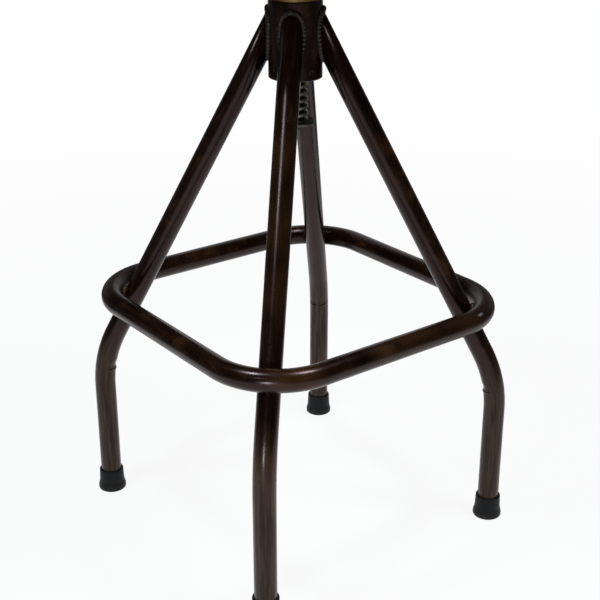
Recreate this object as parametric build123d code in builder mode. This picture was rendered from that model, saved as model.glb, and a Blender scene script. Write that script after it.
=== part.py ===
"""Screw-lift bar stool: four bent tube legs round a hub, a square foot ring outside them and a round seat."""

import os
from math import cos, hypot, radians, sin, tan

from build123d import *

# Sizes are in millimetres and angles in degrees. The floor is z = 0 and the stool's axis is the Z axis.

# Tube stock for the legs and the foot ring
tube_od = 25.4
tube_wall = 1.5

# Base frame
splay = 27.65
bend_radius = 160.0
foot_circle_radius = 242.0
ring_half_width = 180.0
ring_corner_radius = 78.0
ring_height = 281.0
fit_up_gap = 0.2
ring_weld_radius = 9.0
hub_weld_radius = 4.0
weld_stand_off = 0.03

# Rubber tips on the legs
tip_height = 28.5
tip_floor = 8.0
tip_base_od = 34.8
tip_base_height = 5.5
tip_base_round = 2.4
tip_waist_od = 31.4
tip_waist_height = 11.0
tip_waist_round = 6.0
tip_collar_od = 30.0
tip_lip_round = 1.5
tip_clearance = 0.05
tip_disc_thickness = 1.5

# Hub, and the nut that is set into it
hub_od = 60.0
hub_wall = 7.0
hub_margin_top = 9.0
hub_margin_bottom = 4.0
hub_chamfer = 1.0
nut_flange_od = 56.0
nut_flange_thickness = 6.0
nut_clearance = 0.05
set_screw_od = 6.0
set_screw_socket = 3.0
set_screw_bite = 2.0
set_screw_height_in_hub = 9.0

# Screw spindle: its plain envelope, as wide as the crests of its thread
thread_od = 28.0
thread_lead = 8.0
turns_up = 6
turns_down = 8
running_clearance = 0.05
stop_clearance = 0.5
pilot_od = 12.0
spigot_od = 20.0
spindle_chamfer = 1.5

# Stop washer, and the bolt that keeps it on the spindle
washer_od = 44.0
washer_thickness = 3.0
washer_play = 0.1
bolt_od = 8.0
bolt_depth = 22.0
bolt_flange_od = 18.0
bolt_flange_thickness = 1.6
bolt_head_across_flats = 13.0
bolt_head_height = 5.0

# Seat plate, its weld and its screws
plate_od = 170.0
plate_thickness = 5.0
plate_chamfer = 0.8
plate_weld_size = 4.0
seat_screw_count = 6
seat_screw_circle_radius = 70.0
seat_screw_od = 5.0
seat_screw_reach = 22.0
seat_screw_point = 4.0
seat_screw_head_od = 10.0
seat_screw_head_height = 3.0
seat_screw_slot = 1.2
screw_clearance = 0.1

# Seat
seat_od = 350.0
seat_thickness = 36.0
seat_dish_depth = 8.0
seat_rim_width = 34.0
seat_top_round = 12.0
seat_bottom_round = 5.0

# Sizes that follow from the ones above
tube_radius = tube_od / 2
bore_radius = tube_radius - tube_wall
lean = radians(splay)
ring_corner_inset = ring_half_width - ring_corner_radius
ring_corner_reach = hypot(ring_corner_inset, ring_corner_inset) + ring_corner_radius
leg_radius_at_ring = ring_corner_reach - (tube_od + fit_up_gap) / cos(lean)
ring_touch_radius = ring_corner_reach - (tube_od + fit_up_gap) / 2 * cos(lean)
ring_touch_height = ring_height - (tube_od + fit_up_gap) / 2 * sin(lean)
apex_height = ring_height + leg_radius_at_ring / tan(lean)
knee_height = apex_height - foot_circle_radius / tan(lean)
tube_end = tip_floor + tip_disc_thickness

hub_radius = hub_od / 2
hub_bore_radius = hub_radius - hub_wall
tube_half_slice = tube_radius / cos(lean)
cope_top = apex_height - (hub_radius - tube_half_slice) / tan(lean)
cope_bottom = apex_height - (hub_radius + tube_half_slice) / tan(lean)
hub_top = cope_top + hub_weld_radius * tan(lean / 2) + hub_margin_top
hub_bottom = cope_bottom - hub_weld_radius / tan(lean / 2) - hub_margin_bottom
hub_length = hub_top - hub_bottom
set_screw_height = hub_bottom + set_screw_height_in_hub
set_screw_inner = hub_bore_radius - nut_clearance - set_screw_bite
set_screw_length = hub_radius - hub_chamfer - set_screw_inner
nut_top = hub_top + nut_flange_thickness

thread_radius = thread_od / 2
nut_bore_radius = thread_radius + running_clearance
seat_rise = thread_lead * turns_up
seat_drop = thread_lead * turns_down
washer_top = hub_bottom - seat_rise - stop_clearance
washer_bottom = washer_top - washer_thickness
shoulder_height = washer_top + washer_play
pilot_bottom = washer_bottom - washer_play
plate_bottom = nut_top + seat_drop + plate_weld_size + stop_clearance
plate_top = plate_bottom + plate_thickness
seat_top = plate_top + seat_thickness
seat_radius = seat_od / 2
dish_radius = seat_radius - seat_rim_width
dish_bottom = seat_top - seat_dish_depth

bearings = {"rear_right": 45, "rear_left": 135, "front_left": 225, "front_right": 315}


def outward_plane(bearing, reach=0.0):
    """The upright plane at this bearing: its x runs outward from this reach and its y runs up."""
    turn = radians(bearing)
    outward = (cos(turn), sin(turn), 0)
    start = (reach * cos(turn), reach * sin(turn), 0)
    return Plane(origin=start, x_dir=outward, z_dir=(sin(turn), -cos(turn), 0))


def foot_plane(bearing, height=0.0):
    """The level plane centred on the lower end of the leg at this bearing."""
    turn = radians(bearing)
    centre = (foot_circle_radius * cos(turn), foot_circle_radius * sin(turn), height)
    return Plane(origin=centre, x_dir=(cos(turn), sin(turn), 0), z_dir=(0, 0, 1))


os.makedirs("parts", exist_ok=True)

# Centreline of one leg: upright at the foot, bent below the ring, then straight to the axis
inner_end = tube_radius / 2
with BuildLine(outward_plane(0)) as leg_line:
    FilletPolyline(
        (foot_circle_radius, tube_end),
        (foot_circle_radius, knee_height),
        (inner_end, apex_height - inner_end / tan(lean)),
        radius=bend_radius,
    )

# Solid rods along the tubes' paths and a long core for the hub. They shape the copes and the welds.
with BuildPart() as leg_rod:
    with BuildSketch(foot_plane(0, tube_end)):
        Circle(tube_radius)
    sweep(path=leg_line.line)

with BuildLine(Plane.XY.offset(ring_height)) as ring_line:
    FilletPolyline(
        (ring_half_width, ring_half_width),
        (-ring_half_width, ring_half_width),
        (-ring_half_width, -ring_half_width),
        (ring_half_width, -ring_half_width),
        radius=ring_corner_radius,
        close=True,
    )
ring_start = Plane(origin=ring_line.line @ 0, z_dir=ring_line.line % 0)

with BuildPart() as ring_rod:
    with BuildSketch(ring_start):
        Circle(tube_radius)
    sweep(path=ring_line.line)

with BuildPart() as hub_core:
    with BuildSketch(Plane.XY.offset(hub_bottom)):
        Circle(hub_radius)
    extrude(amount=2 * (apex_height - hub_bottom))

# Legs: hollow tubes, coped to the round of the hub
with BuildPart() as leg_tube:
    with BuildSketch(foot_plane(0, tube_end)):
        Circle(tube_radius)
        Circle(bore_radius, mode=Mode.SUBTRACT)
    sweep(path=leg_line.line)
    add(hub_core.part, mode=Mode.SUBTRACT)

for place, bearing in bearings.items():
    with BuildPart() as leg:
        add(leg_tube.part, rotation=(0, 0, bearing))
    leg.part.label = "leg_" + place
    export_step(leg.part, f"parts/leg_{place}.step")

# Foot ring: one hollow tube, bent to a square with round corners and closed on itself
with BuildPart() as foot_ring:
    with BuildSketch(ring_start):
        Circle(tube_radius)
        Circle(bore_radius, mode=Mode.SUBTRACT)
    sweep(path=ring_line.line)
foot_ring.part.label = "foot_ring"
export_step(foot_ring.part, "parts/foot_ring.step")

# Welds between the legs and the corners of the ring
with BuildPart() as ring_welds:
    for bearing in bearings.values():
        with Locations(outward_plane(bearing)):
            with Locations((ring_touch_radius, ring_touch_height, 0)):
                Sphere(ring_weld_radius)
    for bearing in bearings.values():
        add(leg_rod.part, rotation=(0, 0, bearing), mode=Mode.SUBTRACT)
    add(ring_rod.part, mode=Mode.SUBTRACT)
ring_welds.part.label = "ring_welds"
export_step(ring_welds.part, "parts/ring_welds.step")

# Hub: a thick tube with a cross hole between the legs on each side, for the set screws
with BuildPart() as hub:
    with BuildSketch(Plane.XY.offset(hub_bottom)):
        Circle(hub_radius)
        Circle(hub_bore_radius, mode=Mode.SUBTRACT)
    extrude(amount=hub_length)
    chamfer(hub.edges().filter_by(GeomType.CIRCLE), hub_chamfer)
    for side in (Plane.YZ, Plane.XZ):
        with BuildSketch(side):
            with Locations((0, set_screw_height)):
                Circle(set_screw_od / 2 + screw_clearance)
        extrude(amount=hub_radius, both=True, mode=Mode.SUBTRACT)
hub.part.label = "hub"
export_step(hub.part, "parts/hub.step")

# Welds that close the copes: a round fillet between the leg and the hub, made once and set at each leg.
# Its faces stand off the tubes by a hair, so that no two curved faces lie on each other.
with BuildPart() as bead_core:
    with BuildSketch(Plane.XY.offset(hub_bottom)):
        Circle(hub_radius + weld_stand_off)
    extrude(amount=2 * (apex_height - hub_bottom))

with BuildPart() as bead_rod:
    with BuildSketch(foot_plane(0, tube_end)):
        Circle(tube_radius + weld_stand_off)
    sweep(path=leg_line.line)

with BuildPart() as hub_bead:
    add(bead_core.part)
    add(bead_rod.part)
    fillet(hub_bead.edges().filter_by(GeomType.BSPLINE), hub_weld_radius)
    add(bead_core.part, mode=Mode.SUBTRACT)
    add(bead_rod.part, mode=Mode.SUBTRACT)

with BuildPart() as hub_welds:
    for bearing in bearings.values():
        add(hub_bead.part, rotation=(0, 0, bearing))
hub_welds.part.label = "hub_welds"
export_step(hub_welds.part, "parts/hub_welds.step")

# Lift nut: a flanged bush that carries the spindle's thread, dimpled for the set screws
with BuildPart() as lift_nut:
    with BuildSketch(Plane.XY.offset(hub_bottom + hub_chamfer)):
        Circle(hub_bore_radius - nut_clearance)
    extrude(amount=hub_length - hub_chamfer)
    with BuildSketch(Plane.XY.offset(hub_top)):
        Circle(nut_flange_od / 2)
    extrude(amount=nut_flange_thickness)
    chamfer(lift_nut.edges().group_by(Axis.Z)[-1], hub_chamfer)
    with BuildSketch(Plane.XY.offset(hub_bottom)):
        Circle(nut_bore_radius)
    extrude(amount=nut_top - hub_bottom, mode=Mode.SUBTRACT)
    with Locations((0, 0, set_screw_height)):
        with PolarLocations(set_screw_inner, 4):
            Cylinder(
                set_screw_od / 2 + screw_clearance,
                2 * set_screw_bite,
                rotation=(0, 90, 0),
                align=(Align.CENTER, Align.CENTER, Align.MIN),
                mode=Mode.SUBTRACT,
            )
lift_nut.part.label = "lift_nut"
export_step(lift_nut.part, "parts/lift_nut.step")

# Set screws that stop the nut from turning in the hub
with BuildPart() as nut_set_screws:
    with Locations((0, 0, set_screw_height)):
        with PolarLocations(set_screw_inner, 4):
            Cylinder(
                set_screw_od / 2,
                set_screw_length,
                rotation=(0, 90, 0),
                align=(Align.CENTER, Align.CENTER, Align.MIN),
            )
    for bearing in range(0, 360, 90):
        turn = radians(bearing)
        outer = set_screw_inner + set_screw_length
        head = Plane(
            origin=(outer * cos(turn), outer * sin(turn), set_screw_height),
            z_dir=(cos(turn), sin(turn), 0),
        )
        with BuildSketch(head):
            RegularPolygon(set_screw_socket / 2, 6, major_radius=False)
        extrude(amount=-set_screw_socket, mode=Mode.SUBTRACT)
nut_set_screws.part.label = "nut_set_screws"
export_step(nut_set_screws.part, "parts/nut_set_screws.step")

# Rubber tips: a flared base, a waist and a collar with a round lip, pushed over the tubes
tip_bore_radius = tube_radius + tip_clearance
for place, bearing in bearings.items():
    with BuildPart() as foot_tip:
        with BuildSketch(outward_plane(bearing, foot_circle_radius)):
            with BuildLine():
                FilletPolyline(
                    (0, 0),
                    (tip_base_od / 2, 0),
                    (tip_base_od / 2, tip_base_height),
                    (tip_waist_od / 2, tip_waist_height),
                    (tip_collar_od / 2, tip_height),
                    (tip_bore_radius, tip_height),
                    radius=(tip_base_round, tip_base_round, tip_waist_round, tip_lip_round),
                )
                Polyline((tip_bore_radius, tip_height), (tip_bore_radius, tip_floor), (0, tip_floor), (0, 0))
            make_face()
        revolve(axis=Axis(foot_plane(bearing).origin, (0, 0, 1)))
    foot_tip.part.label = "foot_tip_" + place
    export_step(foot_tip.part, f"parts/foot_tip_{place}.step")

# Steel discs that keep the tubes from cutting through the tips
with BuildPart() as tip_discs:
    for bearing in bearings.values():
        with BuildSketch(foot_plane(bearing, tip_floor)):
            Circle(tube_radius - tip_clearance)
        extrude(amount=tip_disc_thickness)
tip_discs.part.label = "tip_discs"
export_step(tip_discs.part, "parts/tip_discs.step")

# Spindle: threaded up to the plate, with a spigot on top, and a pilot and a bolt hole at its foot
with BuildPart() as spindle:
    with BuildSketch(Plane.XY.offset(shoulder_height)):
        Circle(thread_radius)
    extrude(amount=plate_bottom - shoulder_height)
    chamfer(spindle.edges().group_by(Axis.Z)[0], spindle_chamfer)
    with BuildSketch(Plane.XY.offset(plate_bottom)):
        Circle(spigot_od / 2)
    extrude(amount=plate_thickness)
    with BuildSketch(Plane.XY.offset(pilot_bottom)):
        Circle(pilot_od / 2)
    extrude(amount=shoulder_height - pilot_bottom)
    with BuildSketch(Plane.XY.offset(pilot_bottom)):
        Circle(bolt_od / 2 + screw_clearance)
    extrude(amount=bolt_depth + bolt_od / 2, mode=Mode.SUBTRACT)
spindle.part.label = "spindle"
export_step(spindle.part, "parts/spindle.step")

# Stop washer: it meets the foot of the hub when the seat is as high as it goes
with BuildPart() as stop_washer:
    with BuildSketch(Plane.XY.offset(washer_bottom)):
        Circle(washer_od / 2)
        Circle(pilot_od / 2 + running_clearance, mode=Mode.SUBTRACT)
    extrude(amount=washer_thickness)
    washer_rims = stop_washer.edges().filter_by(GeomType.CIRCLE).sort_by(SortBy.RADIUS)[-2:]
    chamfer(washer_rims, washer_thickness / 6)
stop_washer.part.label = "stop_washer"
export_step(stop_washer.part, "parts/stop_washer.step")

# Stop bolt: a flanged hexagon bolt up into the spindle's foot
with BuildPart() as stop_bolt:
    with BuildSketch(Plane.XY.offset(pilot_bottom)):
        Circle(bolt_od / 2)
    extrude(amount=bolt_depth)
    with BuildSketch(Plane.XY.offset(pilot_bottom)):
        Circle(bolt_flange_od / 2)
    extrude(amount=-bolt_flange_thickness)
    with BuildSketch(Plane.XY.offset(pilot_bottom - bolt_flange_thickness)):
        RegularPolygon(bolt_head_across_flats / 2, 6, major_radius=False)
    extrude(amount=-bolt_head_height)
stop_bolt.part.label = "stop_bolt"
export_step(stop_bolt.part, "parts/stop_bolt.step")

# Seat plate: a round plate with a bore for the spigot and a ring of screw holes
with BuildPart() as seat_plate:
    with BuildSketch(Plane.XY.offset(plate_bottom)):
        Circle(plate_od / 2)
        Circle(spigot_od / 2 + screw_clearance, mode=Mode.SUBTRACT)
        with PolarLocations(seat_screw_circle_radius, seat_screw_count):
            Circle(seat_screw_od / 2 + screw_clearance, mode=Mode.SUBTRACT)
    extrude(amount=plate_thickness)
    chamfer(seat_plate.edges().group_by(Axis.Z)[0].sort_by(SortBy.LENGTH)[-1], plate_chamfer)
seat_plate.part.label = "seat_plate"
export_step(seat_plate.part, "parts/seat_plate.step")

# Weld round the spindle under the plate
with BuildPart() as plate_weld:
    with BuildSketch(Plane.XZ):
        with BuildLine():
            Polyline(
                (thread_radius, plate_bottom - plate_weld_size),
                (thread_radius, plate_bottom),
                (thread_radius + plate_weld_size, plate_bottom),
                close=True,
            )
        make_face()
    revolve(axis=Axis.Z)
plate_weld.part.label = "plate_weld"
export_step(plate_weld.part, "parts/plate_weld.step")

# Pan-head wood screws, up through the plate into the seat
with BuildPart() as seat_screws:
    with Locations((0, 0, plate_bottom)):
        with PolarLocations(seat_screw_circle_radius, seat_screw_count):
            Cylinder(
                seat_screw_head_od / 2,
                seat_screw_head_height,
                align=(Align.CENTER, Align.CENTER, Align.MAX),
            )
    chamfer(seat_screws.edges().group_by(Axis.Z)[0], seat_screw_head_height / 2)
    with Locations((0, 0, plate_bottom - seat_screw_head_height)):
        with PolarLocations(seat_screw_circle_radius, seat_screw_count):
            Box(seat_screw_head_od, seat_screw_slot, seat_screw_slot * 2, mode=Mode.SUBTRACT)
    with BuildSketch(Plane.XY.offset(plate_bottom)):
        with PolarLocations(seat_screw_circle_radius, seat_screw_count):
            Circle(seat_screw_od / 2)
    extrude(amount=plate_thickness + seat_screw_reach - seat_screw_point)
    with Locations((0, 0, plate_top + seat_screw_reach - seat_screw_point)):
        with PolarLocations(seat_screw_circle_radius, seat_screw_count):
            Cone(
                seat_screw_od / 2,
                seat_screw_od / 10,
                seat_screw_point,
                align=(Align.CENTER, Align.CENTER, Align.MIN),
            )
seat_screws.part.label = "seat_screws"
export_step(seat_screws.part, "parts/seat_screws.step")

# Seat: a round of wood, its top scooped to a shallow dish inside a flat rim
with BuildPart() as seat:
    with BuildSketch(Plane.XZ):
        with BuildLine():
            FilletPolyline(
                (0, plate_top),
                (seat_radius, plate_top),
                (seat_radius, seat_top),
                (dish_radius, seat_top),
                radius=(seat_bottom_round, seat_top_round),
            )
            Spline((dish_radius, seat_top), (0, dish_bottom), tangents=((-1, 0), (-1, 0)))
            Line((0, dish_bottom), (0, plate_top))
        make_face()
    revolve(axis=Axis.Z)
    with BuildSketch(Plane.XY.offset(plate_top)):
        with PolarLocations(seat_screw_circle_radius, seat_screw_count):
            Circle(seat_screw_od / 2 + screw_clearance)
    extrude(amount=seat_screw_reach + seat_screw_od / 5, mode=Mode.SUBTRACT)
seat.part.label = "seat"
export_step(seat.part, "parts/seat.step")
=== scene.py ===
"""Looks of the screw-lift bar stool: lacquered tube frame, rubber tips, steel screw and wooden seat."""

from math import ceil, cos, exp, hypot, pi, radians, sin, sqrt, tan

import bmesh
import bpy
from mathutils import Matrix, Vector


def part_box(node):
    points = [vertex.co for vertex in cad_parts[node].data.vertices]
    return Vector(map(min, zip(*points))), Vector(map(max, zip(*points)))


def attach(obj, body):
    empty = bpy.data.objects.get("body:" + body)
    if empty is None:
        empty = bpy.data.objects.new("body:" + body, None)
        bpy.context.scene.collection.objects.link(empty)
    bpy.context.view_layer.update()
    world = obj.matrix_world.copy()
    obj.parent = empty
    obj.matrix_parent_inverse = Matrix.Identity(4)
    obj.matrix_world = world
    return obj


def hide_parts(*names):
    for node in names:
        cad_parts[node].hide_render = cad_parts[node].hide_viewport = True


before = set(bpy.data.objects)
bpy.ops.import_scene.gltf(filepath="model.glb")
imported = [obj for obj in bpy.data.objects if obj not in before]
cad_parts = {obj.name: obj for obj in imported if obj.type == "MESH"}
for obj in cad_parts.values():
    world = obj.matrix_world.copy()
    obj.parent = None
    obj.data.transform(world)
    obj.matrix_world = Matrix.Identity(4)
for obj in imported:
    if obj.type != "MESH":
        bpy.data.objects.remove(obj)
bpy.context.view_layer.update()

# Sizes of the solids, in metres. The floor is z = 0 and the stool's axis is the Z axis.
tube_radius = 0.0127
tube_wall = 0.0015
lean = radians(27.65)
leg_bend_radius = 0.160
foot_circle_radius = 0.242
tube_end_height = 0.0095
ring_half_width = 0.180
ring_corner_radius = 0.078
ring_height = 0.281
fit_up_gap = 0.0002
hub_radius = 0.030
spindle_radius = 0.014
thread_lead = 0.008
pilot_radius = 0.006
pilot_length = 0.0032
spigot_length = 0.005
seat_radius = 0.175
seat_top_round = 0.012
seat_bottom_round = 0.005
dish_radius = 0.141
dish_depth = 0.008
tip_height = 0.0285
tip_floor = 0.0080
tip_base_radius = 0.0174
tip_base_height = 0.0055
tip_waist_radius = 0.0157
tip_waist_height = 0.0110
tip_collar_radius = 0.0150
tip_bore_radius = 0.01275

# Sizes of the small forms that only the scene has
tread_depth = 0.0006
thread_depth = 0.0042
thread_ease = 0.0003
corner_squeeze = 0.02
ring_bead_radius = 0.0022
ring_bead_reach = 0.0078
hub_bead_radius = 0.0034
plate_bead_radius = 0.0024
plate_bead_offset = 0.0012

bearings = {"rear_right": 45, "rear_left": 135, "front_left": 225, "front_right": 315}

# Heights and lengths that follow from those sizes
ring_corner_reach = (ring_half_width - ring_corner_radius) * sqrt(2) + ring_corner_radius
leg_radius_at_ring = ring_corner_reach - (2 * tube_radius + fit_up_gap) / cos(lean)
ring_touch_radius = ring_corner_reach - (tube_radius + fit_up_gap / 2) * cos(lean)
ring_touch_height = ring_height - (tube_radius + fit_up_gap / 2) * sin(lean)
apex_height = ring_height + leg_radius_at_ring / tan(lean)
knee_height = apex_height - foot_circle_radius / tan(lean)
bend_start_height = knee_height - leg_bend_radius * tan(lean / 2)
upright_length = bend_start_height - tube_end_height
bend_length = leg_bend_radius * lean
up_the_leg = Vector((-sin(lean), 0, cos(lean)))
out_of_the_leg = Vector((cos(lean), 0, sin(lean)))


# Meshes

def keep(name, bm, body, material, stands_for, smooth_angle=40):
    """Make the piece from its mesh, shade it, and tie it to the body and the solids that it stands for."""
    mesh = bpy.data.meshes.new(name)
    bm.to_mesh(mesh)
    bm.free()
    mesh.shade_smooth()
    mesh.set_sharp_from_angle(angle=radians(smooth_angle))
    piece = bpy.data.objects.new(name, mesh)
    bpy.context.collection.objects.link(piece)
    mesh.materials.append(material)
    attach(piece, body)
    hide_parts(*stands_for)
    return piece


def straight_tube(bm, stations, sides, apart=0.0):
    """Draw a straight tube up the Z axis, a loop at each station, and note where each point is unbent."""
    unbent = bm.verts.layers.float_vector.new("unbent")
    bmesh.ops.create_circle(bm, radius=tube_radius, segments=sides)
    bmesh.ops.spin(
        bm, geom=bm.verts[:] + bm.edges[:], cent=(0, 0, 0), axis=(0, 0, 1), angle=0,
        steps=len(stations) - 1, dvec=(0, 0, 1),
    )
    loops = [[] for station in stations]
    for vert in bm.verts:
        step = round(vert.co.z)
        vert.co.z = stations[step]
        vert[unbent] = vert.co + Vector((0, 0, apart))
        loops[step].append(vert)
    return loops


def evenly(start, end, spacing):
    """Stations from start up to end, no further apart than the spacing, without the end itself."""
    count = ceil((end - start) / spacing)
    return [start + (end - start) * i / count for i in range(count)]


def slide_to_hub(vert):
    """How far up the leg a point at bearing 0 has to go to lie on the round of the hub."""
    return (vert.x - sqrt(hub_radius ** 2 - vert.y ** 2)) / sin(lean)


def bent_about(former, turn, axis):
    """The move that turns a loop of the tube about the middle of the bender's former."""
    return Matrix.Translation(former) @ Matrix.Rotation(turn, 4, axis) @ Matrix.Translation(-former)


# The bender leaves a small crease on the inside of each leg's bend.
crease_station = 0.1655
crease_zone = 0.004
crease_ridge = 0.0007
ridge_width = 0.0009
crease_dent = 0.0011
dent_offset = 0.006
dent_width = 0.0045
crease_lip = 0.00012
lip_width = 0.0007


def make_leg(place, bearing, material):
    """Draw a leg's tube straight, press the crease into it, bend it, and cope its end to the hub."""
    bm = bmesh.new()
    length_before_coping = 0.40
    bend_end = upright_length + bend_length
    straight_end = bend_end + length_before_coping
    crease_start, crease_end = crease_station - crease_zone, crease_station + crease_zone
    stations = (
        evenly(0, upright_length, 0.02)
        + evenly(upright_length, crease_start, 0.002)
        + evenly(crease_start, crease_end, 0.0005)
        + evenly(crease_end, bend_end, 0.002)
        + evenly(bend_end, straight_end, 0.05)
        + [straight_end]
    )
    loops = straight_tube(bm, stations, sides=64, apart=bearing / 45)
    former = Vector((foot_circle_radius - leg_bend_radius, 0, bend_start_height))
    for station, loop in zip(stations, loops):
        past = station - crease_station
        ridge = crease_ridge * exp(-((past / ridge_width) ** 2))
        dent = crease_dent * exp(-(((past - dent_offset) / dent_width) ** 2)) if past > 0 else 0
        lip = crease_lip * exp(-((past / lip_width) ** 2))
        bent = min(max(station - upright_length, 0), bend_length) / leg_bend_radius
        level = tube_end_height + min(upright_length - station, 0)
        straight = max(station - bend_end, 0)
        move = bent_about(former, -bent, "Y") @ Matrix.Translation((foot_circle_radius, 0, level))
        move = Matrix.Translation(up_the_leg * straight) @ move
        for vert in loop:
            inner = max(0, -vert.co.x / tube_radius)
            vert.co.xy *= 1 + (lip + (ridge - dent) * inner ** 2) / tube_radius
            vert.co = move @ vert.co
    for vert in loops[-1]:
        vert.co += up_the_leg * slide_to_hub(vert.co)
    bmesh.ops.rotate(bm, verts=bm.verts, cent=(0, 0, 0), matrix=Matrix.Rotation(radians(bearing), 3, "Z"))
    bmesh.ops.recalc_face_normals(bm, faces=bm.faces)
    leg = keep("leg_tube_" + place, bm, "base", material, ["leg_" + place])
    wall = leg.modifiers.new("wall", "SOLIDIFY")
    wall.thickness = tube_wall
    wall.offset = -1


def make_foot_ring(material):
    """Draw the ring's tube straight, bend its four corners, squeezed a little, and close it on itself."""
    bm = bmesh.new()
    half_run = ring_half_width - ring_corner_radius
    corner_length = ring_corner_radius * pi / 2
    quarter = 2 * half_run + corner_length
    run_spacing, corner_spacing = 0.051, 0.0028
    stations = []
    for corner in range(4):
        start = corner * quarter
        corner_start, corner_end = start + half_run, start + half_run + corner_length
        stations += evenly(start, corner_start, run_spacing)
        stations += evenly(corner_start, corner_end, corner_spacing)
        stations += evenly(corner_end, start + quarter, run_spacing)
    stations.append(4 * quarter)
    loops = straight_tube(bm, stations, sides=64)
    former = Vector((half_run, half_run, ring_height))
    for station, loop in zip(stations, loops):
        side = min(int(station / quarter + 1e-9), 3)
        within = station - side * quarter
        turned = min(max(within - half_run, 0), corner_length) / ring_corner_radius
        rest = max(within - half_run - corner_length, 0)
        squeeze = corner_squeeze * sin(2 * turned)
        move = Matrix.Diagonal((1 - squeeze, 1 + squeeze / 2, 1, 1)) @ Matrix.Translation((0, 0, -station))
        move = Matrix.Rotation(-pi / 2, 4, "X") @ move
        move = Matrix.Translation((ring_half_width, min(within, half_run), ring_height)) @ move
        move = Matrix.Translation((-rest, 0, 0)) @ bent_about(former, turned, "Z") @ move
        move = Matrix.Rotation(side * pi / 2, 4, "Z") @ move
        for vert in loop:
            vert.co = move @ vert.co
    bmesh.ops.remove_doubles(bm, verts=loops[0] + loops[-1], dist=1e-5)
    bmesh.ops.recalc_face_normals(bm, faces=bm.faces)
    keep("foot_ring_tube", bm, "base", material, ["foot_ring"])


def lay_bead(name, paths, bead_radius, ripples, material, body, stands_for):
    """Lay a welded bead along closed paths: a round rod whose thickness ripples as the weld pool freezes."""
    curve = bpy.data.curves.new(name, "CURVE")
    curve.dimensions = "3D"
    curve.bevel_depth = bead_radius
    curve.bevel_resolution = 4
    curve.resolution_u = 1
    for points in paths:
        spline = curve.splines.new("POLY")
        spline.points.add(len(points) - 1)
        spline.use_cyclic_u = True
        for i, (point, at) in enumerate(zip(spline.points, points)):
            point.co = (*at, 1)
            turn = 2 * pi * i / len(points)
            point.radius = 1 + 0.10 * sin(ripples * turn) + 0.08 * sin(3 * turn + len(points))
    drawn = bpy.data.objects.new(name, curve)
    bpy.context.collection.objects.link(drawn)
    mesh = bpy.data.meshes.new_from_object(drawn)
    bpy.data.objects.remove(drawn)
    bm = bmesh.new()
    bm.from_mesh(mesh)
    bpy.data.meshes.remove(mesh)
    bmesh.ops.remove_doubles(bm, verts=bm.verts, dist=1e-6)
    bmesh.ops.recalc_face_normals(bm, faces=bm.faces)
    keep(name, bm, body, material, stands_for, smooth_angle=180)


def ring_bead_points(bearing, count=132):
    """The line of the bead round the spot where a leg touches the ring, halfway between the two tubes."""
    turn = Matrix.Rotation(radians(bearing), 3, "Z")
    touch = Vector((ring_touch_radius, 0, ring_touch_height))
    points = []
    for i in range(count):
        angle = 2 * pi * i / count
        along_leg, across = ring_bead_reach * cos(angle), ring_bead_reach * sin(angle)
        lift = (along_leg ** 2 - across ** 2) / (4 * tube_radius)
        at = touch + up_the_leg * along_leg + Vector((0, across, 0)) + out_of_the_leg * lift
        points.append(turn @ at)
    return points


def hub_bead_points(bearing, count=260):
    """The line of the bead round a leg's cope, where the leg's outside meets the hub's."""
    turn = Matrix.Rotation(radians(bearing), 3, "Z")
    middle = Vector((foot_circle_radius, 0, knee_height))
    points = []
    for i in range(count):
        angle = 2 * pi * i / count
        at = middle + out_of_the_leg * tube_radius * cos(angle) + Vector((0, tube_radius * sin(angle), 0))
        points.append(turn @ (at + up_the_leg * slide_to_hub(at)))
    return points


def plate_bead_points(count=180):
    """The line of the bead round the spindle, under the seat plate."""
    reach = spindle_radius + plate_bead_offset
    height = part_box("seat_plate")[0].z - plate_bead_offset
    points = []
    for i in range(count):
        angle = 2 * pi * i / count
        points.append((reach * cos(angle), reach * sin(angle), height))
    return points


def turn_profile(bm, outline, steps, centre=(0, 0, 0)):
    """Turn an outline of (radius, height) pairs about an upright line to make a closed round piece."""
    verts = [bm.verts.new((centre[0] + radius, centre[1], centre[2] + height)) for radius, height in outline]
    edges = [bm.edges.new(pair) for pair in zip(verts, verts[1:])]
    bmesh.ops.spin(
        bm, geom=verts + edges, cent=centre, axis=(0, 0, 1), angle=2 * pi, steps=steps, use_merge=True
    )
    bmesh.ops.remove_doubles(bm, verts=bm.verts, dist=1e-6)
    bmesh.ops.recalc_face_normals(bm, faces=bm.faces)


def round_rims(bm, centre, rims, segments):
    """Round the circular edges at these (radius, height, size) places about the piece's own upright line."""
    for radius, height, size in rims:
        edges = [
            edge for edge in bm.edges
            if all(
                abs(hypot(v.co.x - centre[0], v.co.y - centre[1]) - radius) < 1e-5
                and abs(v.co.z - centre[2] - height) < 1e-5
                for v in edge.verts
            )
        ]
        bmesh.ops.bevel(
            bm, geom=edges, offset=size, offset_type="OFFSET", affect="EDGES",
            segments=segments, profile=0.5, material=-1, clamp_overlap=True,
        )


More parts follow.
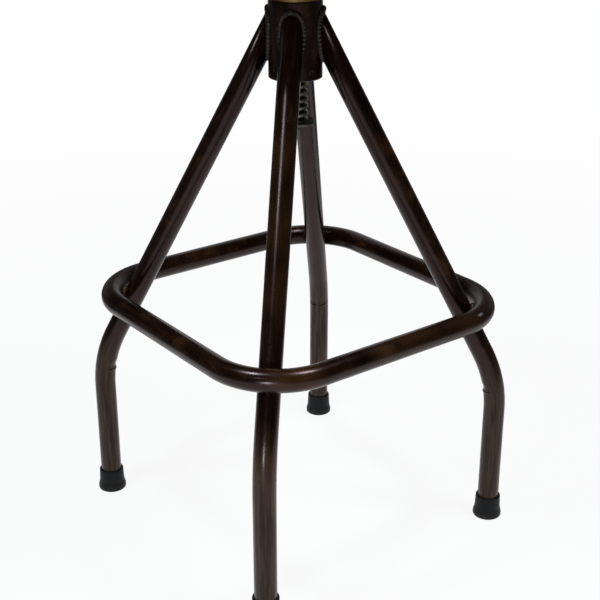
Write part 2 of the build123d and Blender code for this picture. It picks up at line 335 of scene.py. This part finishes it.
def make_foot_tip(place, bearing, material):
    """Turn a rubber tip: flared base with tread grooves below, waist, collar and a rolled lip."""
    bm = bmesh.new()
    centre = (foot_circle_radius * cos(radians(bearing)), foot_circle_radius * sin(radians(bearing)), 0)
    tread = [
        (0, tread_depth), (0.0050, tread_depth), (0.0056, 0),
        (0.0090, 0), (0.0096, tread_depth), (0.0118, tread_depth), (0.0124, 0),
    ]
    outside = [
        (tip_base_radius, 0), (tip_base_radius, tip_base_height),
        (tip_waist_radius, tip_waist_height), (tip_collar_radius, tip_height),
    ]
    bore = [(tip_bore_radius, tip_height), (tip_bore_radius, tip_floor), (0, tip_floor)]
    turn_profile(bm, tread + outside + bore, 72, centre)
    rounds = [0.0018, 0.0022, 0.0026, 0.0012]
    round_rims(bm, centre, [(*rim, size) for rim, size in zip(outside, rounds)], 4)
    keep("rubber_tip_" + place, bm, "base", material, ["foot_tip_" + place])


def make_spindle(material):
    """Wind the spindle's trapezoid thread as one long helix, then cut its ends square and close them."""
    low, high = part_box("spindle")
    shoulder, top = low.z + pilot_length, high.z - spigot_length
    crest, root = spindle_radius, spindle_radius - thread_depth
    eased_crest, eased_root = crest - thread_ease, root + thread_ease
    steps_per_turn = 44
    turns = ceil((top - shoulder) / thread_lead) + 2
    bm = bmesh.new()
    outline = [
        (eased_crest, 0), (crest, 0.0003), (crest, 0.0026), (eased_crest, 0.0029),
        (eased_root, 0.0040), (root, 0.0043), (root, 0.0066), (eased_root, 0.0069),
        (eased_crest, thread_lead),
    ]
    start = shoulder - thread_lead
    verts = [bm.verts.new((radius, 0, start + height)) for radius, height in outline]
    edges = [bm.edges.new(pair) for pair in zip(verts, verts[1:])]
    bmesh.ops.spin(
        bm, geom=verts + edges, cent=(0, 0, 0), axis=(0, 0, 1), angle=2 * pi,
        steps=steps_per_turn, dvec=(0, 0, thread_lead / steps_per_turn),
    )
    first_turn = bm.verts[:] + bm.edges[:] + bm.faces[:]
    for turn in range(1, turns):
        copied = bmesh.ops.duplicate(bm, geom=first_turn)["geom"]
        next_turn = [part for part in copied if isinstance(part, bmesh.types.BMVert)]
        bmesh.ops.translate(bm, verts=next_turn, vec=(0, 0, thread_lead * turn))
    bmesh.ops.remove_doubles(bm, verts=bm.verts, dist=1e-5)
    for height, normal in ((shoulder, (0, 0, -1)), (top, (0, 0, 1))):
        cut = bmesh.ops.bisect_plane(
            bm, geom=bm.verts[:] + bm.edges[:] + bm.faces[:], dist=1e-7,
            plane_co=(0, 0, height), plane_no=normal, clear_outer=True,
        )["geom_cut"]
        bmesh.ops.edgeloop_fill(bm, edges=[part for part in cut if isinstance(part, bmesh.types.BMEdge)])
    pilot_top = shoulder + 0.001
    pilot = bmesh.ops.create_cone(
        bm, segments=48, radius1=pilot_radius, radius2=pilot_radius, depth=pilot_top - low.z, cap_ends=True
    )["verts"]
    bmesh.ops.translate(bm, verts=pilot, vec=(0, 0, (pilot_top + low.z) / 2))
    bmesh.ops.recalc_face_normals(bm, faces=bm.faces)
    keep("threaded_spindle", bm, "seat_and_spindle", material, ["spindle"], 35)


def make_seat(material):
    """Turn the seat: flat underside, eased rim and a shallow dish that runs out before the rim."""
    low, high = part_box("seat")
    bm = bmesh.new()
    outline = [(0, low.z), (seat_radius, low.z), (seat_radius, high.z), (dish_radius, high.z)]
    dish_steps = 28
    for i in range(1, dish_steps + 1):
        share = i / dish_steps
        drop = dish_depth * share * share * (3 - 2 * share)
        outline.append((dish_radius * (1 - share), high.z - drop))
    turn_profile(bm, outline, 160)
    rims = [(seat_radius, low.z, seat_bottom_round), (seat_radius, high.z, seat_top_round)]
    round_rims(bm, (0, 0, 0), rims, 8)
    keep("wooden_seat", bm, "seat_and_spindle", material, ["seat"], 30)


# Finishes

class Finish:
    """A material for one of the stool's finishes, and short ways to add and join its nodes."""

    def __init__(self, name, **shader_values):
        self.material = bpy.data.materials.new(name)
        self.material.use_nodes = True
        self.tree = self.material.node_tree
        self.shader = self.tree.nodes["Principled BSDF"]
        for socket, value in shader_values.items():
            self.shader.inputs[socket.replace("_", " ")].default_value = value

    def add(self, kind, inputs=(), **settings):
        made = self.tree.nodes.new("ShaderNode" + kind)
        for name, value in settings.items():
            setattr(made, name, value)
        for socket, value in dict(inputs).items():
            self.set(made.inputs[socket], value)
        return made

    def set(self, socket, value):
        if isinstance(value, bpy.types.NodeSocket):
            self.tree.links.new(value, socket)
        else:
            socket.default_value = value

    def place(self):
        return self.add("TexCoord").outputs["Object"]

    def unbent(self):
        return self.add("Attribute", attribute_name="unbent").outputs["Vector"]

    def stretched(self, where, scale):
        return self.add("Mapping", {"Vector": where, "Scale": scale}).outputs["Vector"]

    def noise(self, where, scale, detail=4.0, roughness=0.55, distortion=0.0):
        made = self.add("TexNoise", {
            "Vector": where, "Scale": scale, "Detail": detail,
            "Roughness": roughness, "Distortion": distortion,
        })
        return made.outputs["Fac"]

    def math(self, operation, first, second=0.0, clamp=False):
        made = self.add("Math", operation=operation, use_clamp=clamp)
        self.set(made.inputs[0], first)
        self.set(made.inputs[1], second)
        return made.outputs[0]

    def plus(self, value, extra, share):
        """The value, with this share of the extra added to it."""
        return self.math("ADD", value, self.math("MULTIPLY", extra, share))

    def between(self, value, low, high, bottom=0.0, top=1.0):
        made = self.add("MapRange", {
            "Value": value, "From Min": low, "From Max": high, "To Min": bottom, "To Max": top,
        }, interpolation_type="SMOOTHSTEP")
        return made.outputs["Result"]

    def near(self, where, centre, reach):
        """One at the centre, falling softly to nothing at the reach."""
        gap = self.add("VectorMath", {0: where, 1: centre}, operation="DISTANCE").outputs["Value"]
        return self.between(gap, reach, 0.0)

    def ramp(self, value, stops):
        made = self.add("ValToRGB", {"Fac": value})
        bands = made.color_ramp.elements
        while len(bands) < len(stops):
            bands.new(0.5)
        for band, (position, colour) in zip(bands, stops):
            band.position = position
            band.color = (*colour, 1)
        return made.outputs["Color"]

    def mix(self, share, first, second):
        made = self.add("Mix", data_type="RGBA")
        self.set(made.inputs["Factor"], share)
        for socket, value in zip((made.inputs[6], made.inputs[7]), (first, second)):
            self.set(socket, value if isinstance(value, bpy.types.NodeSocket) else (*value, 1))
        return made.outputs[2]

    def lay_over(self, colour, mask, share, tint):
        """The colour, with this share of the tint laid over it where the mask is one."""
        return self.mix(self.math("MULTIPLY", mask, share), colour, tint)

    def bump(self, height, strength, distance, onto=None):
        made = self.add("Bump", {"Height": height, "Strength": strength, "Distance": distance})
        if onto:
            self.set(made.inputs["Normal"], onto)
        return made.outputs["Normal"]

    def use(self, colour, roughness, normal):
        self.set(self.shader.inputs["Base Color"], colour)
        self.set(self.shader.inputs["Roughness"], roughness)
        self.set(self.shader.inputs["Normal"], normal)
        return self.material


black_brown = (0.0030, 0.0011, 0.0007)
dark_brown = (0.0105, 0.0032, 0.0011)
rubbed_brown = (0.0540, 0.0225, 0.0075)
pale_olive = (0.0430, 0.0300, 0.0110)
# Pale grey of the painted highlight on the ring's right corner
painted_highlight_grey = (0.45, 0.45, 0.48)

# Where shoes have rubbed the ring thin and hands the front leg, each with its reach and depth of wear
ring_wear = [
    ((-0.128, -0.185, 0.287), 0.034, 1.0),
    ((-0.150, -0.180, 0.283), 0.024, 1.0),
    ((-0.012, 0.170, 0.289), 0.028, 1.0),
    ((-0.036, 0.170, 0.288), 0.026, 1.0),
    ((-0.050, 0.168, 0.277), 0.060, 0.5),
    ((-0.023, -0.192, 0.286), 0.028, 1.0),
    ((0.020, -0.185, 0.290), 0.080, 0.5),
    ((0.100, -0.185, 0.290), 0.070, 0.5),
]
leg_wear = [
    ((-0.112, -0.112, 0.350), 0.060, 0.4),
    ((-0.086, -0.086, 0.420), 0.065, 0.6),
    ((-0.062, -0.062, 0.480), 0.060, 0.7),
]

# The two corners of the ring whose lacquer is dull from bending, and how far the dullness reaches
dull_bends = [(-0.157, 0.157, 0.281), (0.157, -0.157, 0.281)]
dull_reach = 0.10

# A painted highlight: a pale spot on the ring's tube that stands in for a lamp's glint on the right corner,
# placed on the tube before it is bent, with its reach across the tube, its strength and its squeeze along the
# tube
painted_highlight_place = (0.0082, -0.0097, 1.0993)
painted_highlight_reach = 0.0024
painted_highlight_strength = 0.4
painted_highlight_squeeze = 0.35

# The heights between which a leg's lacquer turns from dark to its foot's paler, streaked brown
foot_top = 0.245
foot_bottom = 0.165


def lacquer(name, follows_tube, wear=(), pale_foot=False, shoe_wear_and_painted_highlight=False):
    """Bronze lacquer: black-brown, clouded, rubbed thin in soft patches, streaked along the tube."""
    made = Finish(name, Specular_IOR_Level=0.34, Specular_Tint=(1.0, 0.73, 0.73, 1.0))
    at_rest = made.place()
    where = made.unbent() if follows_tube else at_rest
    clouds = made.noise(at_rest, 26, 5, 0.6, 0.4)
    patches = made.noise(made.stretched(where, (1, 1, 0.4)), 62, 4, 0.55, 0.3)
    specks = made.noise(at_rest, 1150, 3, 0.6)
    streaks = made.noise(made.stretched(where, (1, 1, 0.05)), 330, 5, 0.55)
    colour = made.ramp(clouds, [(0.34, black_brown), (0.66, dark_brown)])
    rub = made.math("MULTIPLY", made.between(patches, 0.47, 0.74), made.between(clouds, 0.38, 0.62))
    if shoe_wear_and_painted_highlight:
        facing = made.add("SeparateXYZ", {"Vector": made.add("NewGeometry").outputs["Normal"]}).outputs["Z"]
        rub = made.math("MULTIPLY", rub, made.between(facing, -0.2, 0.75, 0.45, 1.0))
    ragged = made.between(patches, 0.30, 0.60, 0.4, 1.0)
    for centre, reach, depth in wear:
        worn = made.math("MULTIPLY", made.near(at_rest, centre, reach), depth)
        rub = made.math("MAXIMUM", rub, made.math("MULTIPLY", worn, ragged))
    colour = made.lay_over(colour, rub, 0.6, rubbed_brown)
    roughness = made.plus(made.between(clouds, 0.30, 0.70, 0.20, 0.26), rub, 0.05)
    if shoe_wear_and_painted_highlight:
        # Painted highlight: a pale grey spot laid into the colour, standing in for a lamp's glint on the
        # ring's right corner
        x, y, station = painted_highlight_place
        along = made.stretched(where, (1, 1, painted_highlight_squeeze))
        painted_highlight = made.near(along, (x, y, painted_highlight_squeeze * station), painted_highlight_reach)
        colour = made.lay_over(colour, painted_highlight, painted_highlight_strength, painted_highlight_grey)
        for bend in dull_bends:
            roughness = made.plus(roughness, made.near(at_rest, bend, dull_reach), 0.16)
    if pale_foot:
        # Towards the floor each leg turns paler, streaked olive-brown along the tube
        height = made.add("SeparateXYZ", {"Vector": at_rest}).outputs["Z"]
        foot = made.between(height, foot_top, foot_bottom)
        pale_streaks = made.between(streaks, 0.38, 0.64)
        colour = made.lay_over(colour, foot, pale_streaks, pale_olive)
        roughness = made.plus(roughness, foot, made.between(streaks, 0.38, 0.64, 0.16, 0.0))
    colour = made.lay_over(colour, made.between(streaks, 0.52, 0.74), 0.2, rubbed_brown)
    colour = made.lay_over(colour, made.between(specks, 0.64, 0.74), 0.3, pale_olive)
    normal = made.bump(specks, 0.06, 0.0002)
    normal = made.bump(streaks, 0.04, 0.0003, normal)
    normal = made.bump(patches, 0.10, 0.0006, normal)
    return made.use(colour, roughness, normal)


def weld_finish(name, heat):
    """Lacquer over a weld: scaly, and golden brown where much heat has tinted it."""
    made = Finish(name, Specular_IOR_Level=0.4)
    where = made.place()
    scale = made.noise(where, 420, 6, 0.65, 0.5)
    tint = made.noise(where, 160, 4, 0.6)
    heated_brown, heated_gold = (0.060, 0.032, 0.010), (0.110, 0.068, 0.022)
    colour = made.ramp(tint, [(0.36, dark_brown), (0.52, heated_brown), (0.68, heated_gold)])
    colour = made.mix(heat, dark_brown, colour)
    colour = made.mix(made.between(scale, 0.55, 0.75, 0, 0.6), colour, black_brown)
    roughness = made.between(scale, 0.3, 0.7, 0.30, 0.55)
    return made.use(colour, roughness, made.bump(scale, 0.5, 0.0006))


def tip_rubber():
    """Moulded black rubber: matt, faintly grained, dusty near the floor."""
    made = Finish("tip_rubber", Specular_IOR_Level=0.2)
    where = made.place()
    grain = made.noise(where, 1600, 3, 0.6)
    smears = made.noise(where, 120, 5, 0.6, 0.4)
    height = made.add("SeparateXYZ", {"Vector": where}).outputs["Z"]
    deep_black, dull_black = (0.0048, 0.0050, 0.0062), (0.0100, 0.0102, 0.0122)
    dust_grey = (0.060, 0.057, 0.052)
    colour = made.ramp(smears, [(0.35, deep_black), (0.70, dull_black)])
    near_floor = made.between(height, 0.012, 0.0005)
    dust = made.math("MULTIPLY", near_floor, made.between(smears, 0.40, 0.65, 0.2, 0.7))
    colour = made.mix(dust, colour, dust_grey)
    roughness = made.plus(made.between(smears, 0.3, 0.7, 0.46, 0.60), dust, 0.15)
    return made.use(colour, roughness, made.bump(grain, 0.18, 0.0002))


def from_axis(made, where):
    """The distance of each point from the stool's axis."""
    flat = made.add("VectorMath", {0: where, 1: (1, 1, 0)}, operation="MULTIPLY").outputs["Vector"]
    return made.add("VectorMath", {0: flat}, operation="LENGTH").outputs["Value"]


def nut_brass():
    """Turned brass, dulled: fine tool rings about the axis, brown where it has tarnished."""
    made = Finish("nut_brass", Metallic=1.0)
    where = made.place()
    radius = from_axis(made, where)
    tarnish = made.noise(where, 70, 6, 0.62, 0.6)
    fine = made.noise(where, 900, 3, 0.5)
    tool_feed = 0.0006
    rings = made.math("SINE", made.math("MULTIPLY", radius, 2 * pi / tool_feed))
    clean_brass, dull_brass, brown_brass = (0.52, 0.35, 0.13), (0.40, 0.26, 0.10), (0.16, 0.10, 0.045)
    colour = made.ramp(tarnish, [(0.32, clean_brass), (0.55, dull_brass), (0.74, brown_brass)])
    roughness = made.plus(made.between(tarnish, 0.3, 0.7, 0.28, 0.48), fine, 0.08)
    normal = made.bump(rings, 0.12, 0.0001)
    return made.use(colour, roughness, made.bump(fine, 0.08, 0.0002, normal))


def spindle_steel():
    """Oiled screw steel: bright on the crests that rub in the nut, dark with old grease in the roots."""
    made = Finish("spindle_steel", Metallic=1.0)
    where = made.place()
    radius = from_axis(made, where)
    grease = made.noise(where, 90, 6, 0.6, 0.5)
    scratches = made.noise(made.stretched(where, (1, 1, 9)), 160, 4, 0.6)
    deep = made.between(made.plus(radius, grease, 0.002), 0.0150, 0.0115)
    bright_steel, oiled_steel, old_grease = (0.34, 0.33, 0.31), (0.17, 0.16, 0.15), (0.028, 0.023, 0.018)
    colour = made.ramp(grease, [(0.30, bright_steel), (0.70, oiled_steel)])
    colour = made.mix(deep, colour, old_grease)
    roughness = made.plus(made.between(grease, 0.3, 0.7, 0.26, 0.42), deep, 0.12)
    return made.use(colour, roughness, made.bump(scratches, 0.10, 0.0002))


def screw_steel():
    """Dark oiled steel of the bolt, the washer, the discs and the screws: mottled, with brown spots."""
    made = Finish("screw_steel", Metallic=1.0)
    where = made.place()
    mottle = made.noise(where, 190, 6, 0.62, 0.4)
    brushed = made.noise(made.stretched(where, (1, 1, 12)), 240, 4, 0.6)
    dark_oil, dull_steel, brown_spot = (0.060, 0.057, 0.054), (0.140, 0.134, 0.126), (0.120, 0.075, 0.045)
    colour = made.ramp(mottle, [(0.32, dark_oil), (0.60, dull_steel), (0.76, brown_spot)])
    roughness = made.plus(made.between(mottle, 0.3, 0.7, 0.30, 0.46), brushed, 0.08)
    return made.use(colour, roughness, made.bump(brushed, 0.12, 0.0002))


board_width = 0.058
pith_height = 0.80
years_per_metre = 330

dark_fibre, pale_fibre = (0.120, 0.052, 0.021), (0.235, 0.115, 0.050)
late_wood_brown = (0.070, 0.028, 0.011)
board_stain = (0.100, 0.045, 0.018)
pore_brown = (0.030, 0.012, 0.005)
glue_brown = (0.022, 0.009, 0.004)


def late_wood_of(made, parts, within, chance, waver):
    """The dark part of each year's ring, about a pith above the seat that lies elsewhere for each board."""
    pith_aside = made.math("SUBTRACT", chance["Value"], 0.5)
    sideways = made.plus(made.math("MULTIPLY", within, board_width), pith_aside, 0.05)
    pith_drop = made.math("ADD", -pith_height, made.math("MULTIPLY", chance["Value"], 0.04))
    depth = made.math("ADD", parts["Z"], pith_drop)
    pith = made.add("CombineXYZ", {"X": sideways, "Z": depth}).outputs["Vector"]
    from_pith = made.add("VectorMath", {0: pith}, operation="LENGTH").outputs["Value"]
    years = made.plus(made.math("MULTIPLY", from_pith, years_per_metre), waver, 5.5)
    part_of_year = made.math("FRACT", years)
    darkening, ending = made.between(part_of_year, 0.35, 0.92), made.between(part_of_year, 1.0, 0.94)
    return made.math("MULTIPLY", darkening, ending)


def seat_wood():
    """Stained wood, glued up from boards along Y: year rings, pores, a tone of its own for each board."""
    made = Finish("seat_wood", Specular_IOR_Level=0.45, Coat_Weight=0.15, Coat_Roughness=0.28)
    where = made.place()
    parts = made.add("SeparateXYZ", {"Vector": where}).outputs
    across = made.math("ADD", made.math("DIVIDE", parts["X"], board_width), 0.5)
    board = made.math("FLOOR", across)
    chance = made.add("TexWhiteNoise", {"W": board}, noise_dimensions="1D").outputs
    within = made.math("SUBTRACT", made.math("SUBTRACT", across, board), 0.5)
    shift = made.add("VectorMath", {0: chance["Color"], 1: (0.0, 1.7, 0.0)}, operation="MULTIPLY")
    own = made.add("VectorMath", {0: where, 1: shift.outputs["Vector"]}, operation="ADD").outputs["Vector"]
    waver = made.noise(made.stretched(own, (1, 0.12, 1)), 24, 4, 0.5)
    late_wood = late_wood_of(made, parts, within, chance, waver)
    pores = made.noise(made.stretched(own, (1, 0.035, 1)), 1000, 3, 0.6)
    fibres = made.noise(made.stretched(own, (1, 0.02, 1)), 300, 5, 0.65)
    open_pore = made.between(pores, 0.60, 0.70)
    glue_line = made.between(made.math("ABSOLUTE", within), 0.492, 0.498)
    colour = made.ramp(fibres, [(0.30, dark_fibre), (0.70, pale_fibre)])
    colour = made.lay_over(colour, late_wood, 0.55, late_wood_brown)
    colour = made.mix(made.between(chance["Value"], 0.0, 1.0, 0.0, 0.45), colour, board_stain)
    colour = made.lay_over(colour, open_pore, 0.7, pore_brown)
    colour = made.lay_over(colour, glue_line, 0.7, glue_brown)
    roughness = made.plus(made.between(fibres, 0.3, 0.7, 0.32, 0.42), open_pore, 0.15)
    dents = made.math("SUBTRACT", 1.0, made.math("ADD", open_pore, glue_line, True))
    normal = made.bump(dents, 0.25, 0.0003)
    return made.use(colour, roughness, made.bump(late_wood, 0.06, 0.0003, normal))


# Pieces

leg_lacquer = lacquer("leg_lacquer", follows_tube=True, wear=leg_wear, pale_foot=True)
ring_lacquer = lacquer("ring_lacquer", follows_tube=True, wear=ring_wear, shoe_wear_and_painted_highlight=True)
hub_lacquer = lacquer("hub_lacquer", follows_tube=False)
tinted_bead = weld_finish("tinted_bead", 1.0)
lacquered_bead = weld_finish("lacquered_bead", 0.12)
rubber = tip_rubber()
bolt_steel = screw_steel()

for place, bearing in bearings.items():
    make_leg(place, bearing, leg_lacquer)
    make_foot_tip(place, bearing, rubber)
make_foot_ring(ring_lacquer)
ring_paths = [ring_bead_points(bearing) for bearing in bearings.values()]
lay_bead("ring_beads", ring_paths, ring_bead_radius, 21, tinted_bead, "base", ["ring_welds"])
hub_paths = [hub_bead_points(bearing) for bearing in bearings.values()]
lay_bead("hub_beads", hub_paths, hub_bead_radius, 40, lacquered_bead, "base", ["hub_welds"])
plate_paths = [plate_bead_points()]
lay_bead("plate_bead", plate_paths, plate_bead_radius, 36, lacquered_bead, "seat_and_spindle", ["plate_weld"])
make_spindle(spindle_steel())
make_seat(seat_wood())

node_finishes = {
    "hub": hub_lacquer,
    "seat_plate": hub_lacquer,
    "lift_nut": nut_brass(),
    "nut_set_screws": bolt_steel,
    "stop_washer": bolt_steel,
    "stop_bolt": bolt_steel,
    "seat_screws": bolt_steel,
    "tip_discs": bolt_steel,
}
for node, material in node_finishes.items():
    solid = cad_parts[node]
    solid.data.materials.clear()
    solid.data.materials.append(material)


# Studio

camera_place = (-0.7901, -1.0431, 0.83169)
camera_tilt = 67.039
camera_turn = -37.365
camera_lens = 71.476
backdrop_bearing = 52.6
pool_middle = (-0.72, -0.96, 0)
pool_bearing = 233
pool_reach = (2.2, 1.2, 1)


def join(tree, operation, first, second):
    """A sum, product or the like of two values in a floor or world material."""
    made = tree.nodes.new("ShaderNodeMath")
    made.operation = operation
    for socket, value in zip(made.inputs, (first, second)):
        if isinstance(value, bpy.types.NodeSocket):
            tree.links.new(value, socket)
        else:
            socket.default_value = value
    return made.outputs[0]


def ray_kinds(tree):
    """One for rays from the camera, and one for rays from a shiny or clear surface."""
    path = tree.nodes.new("ShaderNodeLightPath").outputs
    mirrored = join(tree, "MAXIMUM", path["Is Glossy Ray"], path["Is Transmission Ray"])
    return path["Is Camera Ray"], mirrored


def length_of(tree, vector):
    """The length of a vector in a floor material."""
    made = tree.nodes.new("ShaderNodeVectorMath")
    made.operation = "LENGTH"
    tree.links.new(vector, made.inputs[0])
    return made.outputs["Value"]


def fall_off(tree, value, start, end, first, last):
    """A smooth change from the first level at the start to the last level at the end."""
    made = tree.nodes.new("ShaderNodeMapRange")
    made.interpolation_type = "SMOOTHSTEP"
    tree.links.new(value, made.inputs["Value"])
    for socket, level in (("From Min", start), ("From Max", end), ("To Min", first), ("To Max", last)):
        made.inputs[socket].default_value = level
    return made.outputs["Result"]


def make_floor():
    """A wide white paper floor that takes the stool's shadow. Shiny surfaces mirror only its lit pool."""
    bm = bmesh.new()
    bmesh.ops.create_grid(bm, x_segments=1, y_segments=1, size=60)
    mesh = bpy.data.meshes.new("floor")
    bm.to_mesh(mesh)
    bm.free()
    floor = bpy.data.objects.new("floor", mesh)
    bpy.context.collection.objects.link(floor)
    paper = bpy.data.materials.new("floor_paper")
    paper.use_nodes = True
    tree = paper.node_tree
    tree.nodes.clear()
    lit = tree.nodes.new("ShaderNodeBsdfDiffuse")
    lit.inputs["Color"].default_value = (0.88, 0.88, 0.88, 1)
    glow = tree.nodes.new("ShaderNodeEmission")
    where = tree.nodes.new("ShaderNodeTexCoord").outputs["Object"]
    pool = tree.nodes.new("ShaderNodeMapping")
    pool.vector_type = "TEXTURE"
    pool.inputs["Location"].default_value = pool_middle
    pool.inputs["Rotation"].default_value = (0, 0, radians(pool_bearing))
    pool.inputs["Scale"].default_value = pool_reach
    tree.links.new(where, pool.inputs["Vector"])
    lit_pool = fall_off(tree, length_of(tree, pool.outputs["Vector"]), 0.75, 1.25, 1.0, 0.08)
    camera, mirrored = ray_kinds(tree)
    mirrored_pool = join(tree, "MULTIPLY", mirrored, lit_pool)
    tree.links.new(join(tree, "MAXIMUM", camera, mirrored_pool), glow.inputs["Strength"])
    whiteness = fall_off(tree, length_of(tree, where), 0.5, 2.2, 0.90, 1.0)
    share = join(tree, "MAXIMUM", join(tree, "MULTIPLY", camera, whiteness), mirrored)
    both = tree.nodes.new("ShaderNodeMixShader")
    tree.links.new(share, both.inputs["Fac"])
    tree.links.new(lit.outputs[0], both.inputs[1])
    tree.links.new(glow.outputs[0], both.inputs[2])
    out = tree.nodes.new("ShaderNodeOutputMaterial")
    tree.links.new(both.outputs[0], out.inputs["Surface"])
    mesh.materials.append(paper)


def light_world():
    """A white backdrop to look at, a dim room for shiny surfaces to mirror, and a low even light."""
    world = bpy.data.worlds.new("studio")
    bpy.context.scene.world = world
    world.use_nodes = True
    tree = world.node_tree
    background = tree.nodes["Background"]
    where = tree.nodes.new("ShaderNodeTexCoord")
    parts = tree.nodes.new("ShaderNodeSeparateXYZ")
    tree.links.new(where.outputs["Generated"], parts.inputs[0])
    ceiling = fall_off(tree, parts.outputs["Z"], 0.0, 0.2, 0.12, 0.02)
    rearward = tree.nodes.new("ShaderNodeVectorMath")
    rearward.operation = "DOT_PRODUCT"
    tree.links.new(where.outputs["Generated"], rearward.inputs[0])
    rearward.inputs[1].default_value = (cos(radians(backdrop_bearing)), sin(radians(backdrop_bearing)), 0)
    sheet_width = fall_off(tree, rearward.outputs["Value"], 0.45, 0.90, 0.0, 0.30)
    sheet_height = fall_off(tree, parts.outputs["Z"], 0.10, 0.45, 1.0, 0.0)
    rear_sheet = join(tree, "MULTIPLY", sheet_width, sheet_height)
    camera, mirrored = ray_kinds(tree)
    reflected = join(tree, "MULTIPLY", mirrored, join(tree, "MAXIMUM", ceiling, rear_sheet))
    seen = join(tree, "MAXIMUM", camera, mirrored)
    even = join(tree, "MULTIPLY", join(tree, "SUBTRACT", 1.0, seen), 0.32)
    strength = join(tree, "ADD", join(tree, "MAXIMUM", camera, reflected), even)
    background.inputs["Color"].default_value = (1, 1, 1, 1)
    tree.links.new(strength, background.inputs["Strength"])


def hang_softbox(name, bearing, height, distance, width, power, colour, aim=ring_height, spread=180):
    """A square soft light at this bearing and height angle from the ring's middle, aimed at the axis."""
    lamp = bpy.data.lights.new(name, "AREA")
    lamp.size = width
    lamp.energy = power
    lamp.color = colour
    lamp.spread = radians(spread)
    hung = bpy.data.objects.new(name, lamp)
    bpy.context.collection.objects.link(hung)
    turn, rise = radians(bearing), radians(height)
    toward = Vector((cos(turn) * cos(rise), sin(turn) * cos(rise), sin(rise)))
    hung.location = Vector((0, 0, ring_height)) + toward * distance
    hung.rotation_euler = (hung.location - Vector((0, 0, aim))).to_track_quat("Z", "Y").to_euler()


def set_camera():
    """The photograph's view: a little above the ring, past the front left leg."""
    camera = bpy.data.cameras.new("camera")
    camera.sensor_width = 36
    camera.lens = camera_lens
    stand = bpy.data.objects.new("camera", camera)
    bpy.context.collection.objects.link(stand)
    stand.location = camera_place
    stand.rotation_euler = (radians(camera_tilt), 0, radians(camera_turn))
    bpy.context.scene.camera = stand


make_floor()
light_world()
hang_softbox("right_softbox", 304, 69, 1.42, 0.21, 10, (0.88, 0.97, 1.0))
hang_softbox("overhead_softbox", 172, 67, 1.45, 0.21, 10, (0.78, 0.92, 1.0))
hang_softbox("left_softbox", 205, 42, 1.75, 0.34, 0.18, (0.85, 0.95, 1.0), aim=0.56, spread=24)
hang_softbox("low_front_softbox", 221, 2, 1.0, 0.14, 0.058, (0.78, 0.92, 1.0), aim=0.22, spread=26)
hang_softbox("backdrop_glow", backdrop_bearing, 12, 0.48, 0.44, 0.33, (1.0, 1.0, 1.0))
set_camera()
bpy.context.scene.view_settings.view_transform = "Standard"
